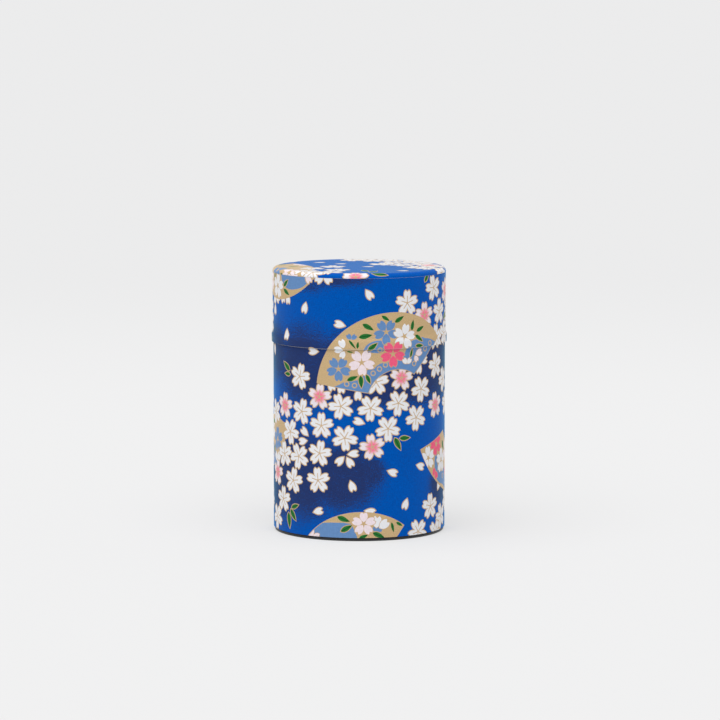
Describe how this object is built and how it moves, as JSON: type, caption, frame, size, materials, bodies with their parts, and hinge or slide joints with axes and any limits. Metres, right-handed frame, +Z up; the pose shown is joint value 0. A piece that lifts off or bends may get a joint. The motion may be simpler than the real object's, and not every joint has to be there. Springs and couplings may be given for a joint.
{
  "type": "spice tin",
  "caption": "Round slip-lid spice or tea tin covered in printed blossom washi paper, with a knobbed inner plug lid and a black-rimmed base.",
  "frame": {"origin": "middle of the base, at the level of the table that the tin stands on", "axes": "+Z up along the tin's axis; the front of the print faces -Y and +X is to the viewer's right"},
  "size_m": [0.0776, 0.0776, 0.117],
  "materials": {
    "tinplate": "bright rolled tinplate, fine grain",
    "black_lacquer": "satin black lacquer",
    "body_washi": "matt handmade paper, screen-printed blossoms and fans on blue",
    "lid_washi": "matt handmade paper, screen-printed blossoms and fans on blue",
    "polished_tin": "bright pressed tinplate"
  },
  "bodies": {
    "body": {"base_plate": "black_lacquer", "body_wall": "tinplate", "neck_collar": "tinplate", "body_paper": "body_washi"},
    "lid": {"lid_wall": "tinplate", "lid_top_plate": "tinplate", "lid_side_paper": "lid_washi", "lid_top_paper": "lid_washi"},
    "inner_lid": {"inner_lid_pan": "tinplate", "knob_base": "polished_tin", "knob_cap": "polished_tin", "rivet_washer": "tinplate", "knob_rivet": "polished_tin"}
  },
  "joints": [
    {"name": "lid_lift", "type": "slide", "parent": "body", "child": "lid", "axis": [0, 0, 1], "range_m": [0, 0.1]},
    {"name": "inner_lid_lift", "type": "slide", "parent": "body", "child": "inner_lid", "axis": [0, 0, 1], "range_m": [0, 0.045]}
  ],
  "couplings": [
    {"joint": "inner_lid_lift", "follows": "lid_lift", "ratio": 0.45}
  ]
}
